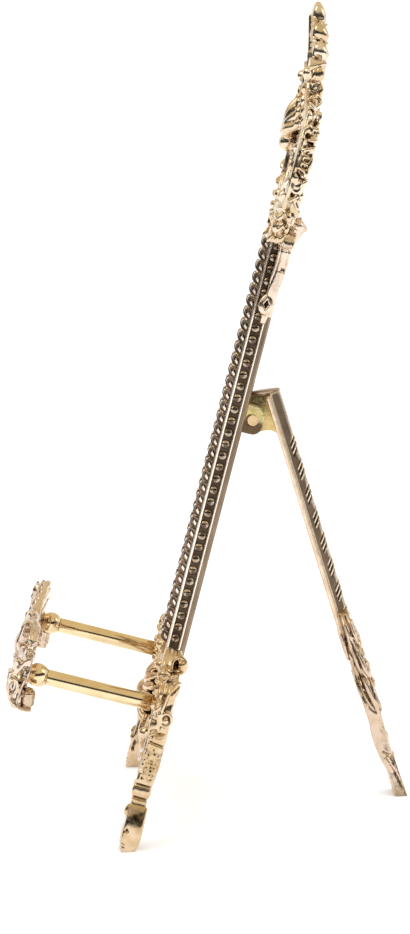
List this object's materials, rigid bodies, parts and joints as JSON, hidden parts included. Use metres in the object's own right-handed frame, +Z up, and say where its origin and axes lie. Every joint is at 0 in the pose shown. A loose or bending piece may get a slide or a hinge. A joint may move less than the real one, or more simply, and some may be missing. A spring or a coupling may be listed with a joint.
{
  "type": "photo album stand",
  "caption": "Ornate cast-brass tabletop stand: leaning scrolled frame, two pegs with a front cartouche that hold an album, and a folding rear leg.",
  "frame": {"origin": "on the ground, under the middle of the stand's box with the rear leg open", "axes": "+X right seen from the front, +Y to the back where the rear leg stands, +Z up"},
  "size_m": [0.109, 0.129, 0.2545],
  "materials": {
    "cast_brass": "polished cast brass with dark recesses",
    "post_brass": "satin brass with polished edges",
    "turned_brass": "turned and polished brass",
    "plain_brass": "plain machined brass"
  },
  "bodies": {
    "frame": {"post": "post_brass", "left_pearl_strip": "cast_brass", "right_pearl_strip": "cast_brass", "post_stud": "plain_brass", "base_stud": "plain_brass", "crest": "cast_brass", "left_leaf": "cast_brass", "right_leaf": "cast_brass", "base": "cast_brass", "left_front_leg": "cast_brass", "right_front_leg": "cast_brass", "left_peg": "turned_brass", "right_peg": "turned_brass", "left_ball_collar": "turned_brass", "right_ball_collar": "turned_brass", "peg_screws": "plain_brass", "plaque": "cast_brass", "plaque_screws": "turned_brass", "hinge_pin": "turned_brass"},
    "leg": {"rear_leg": "post_brass"}
  },
  "joints": [
    {"name": "leg_hinge", "type": "hinge", "parent": "frame", "child": "leg", "pos_m": [0, 0.01916, 0.12456], "axis": [1, 0, 0], "range_deg": [-36, 0]}
  ]
}
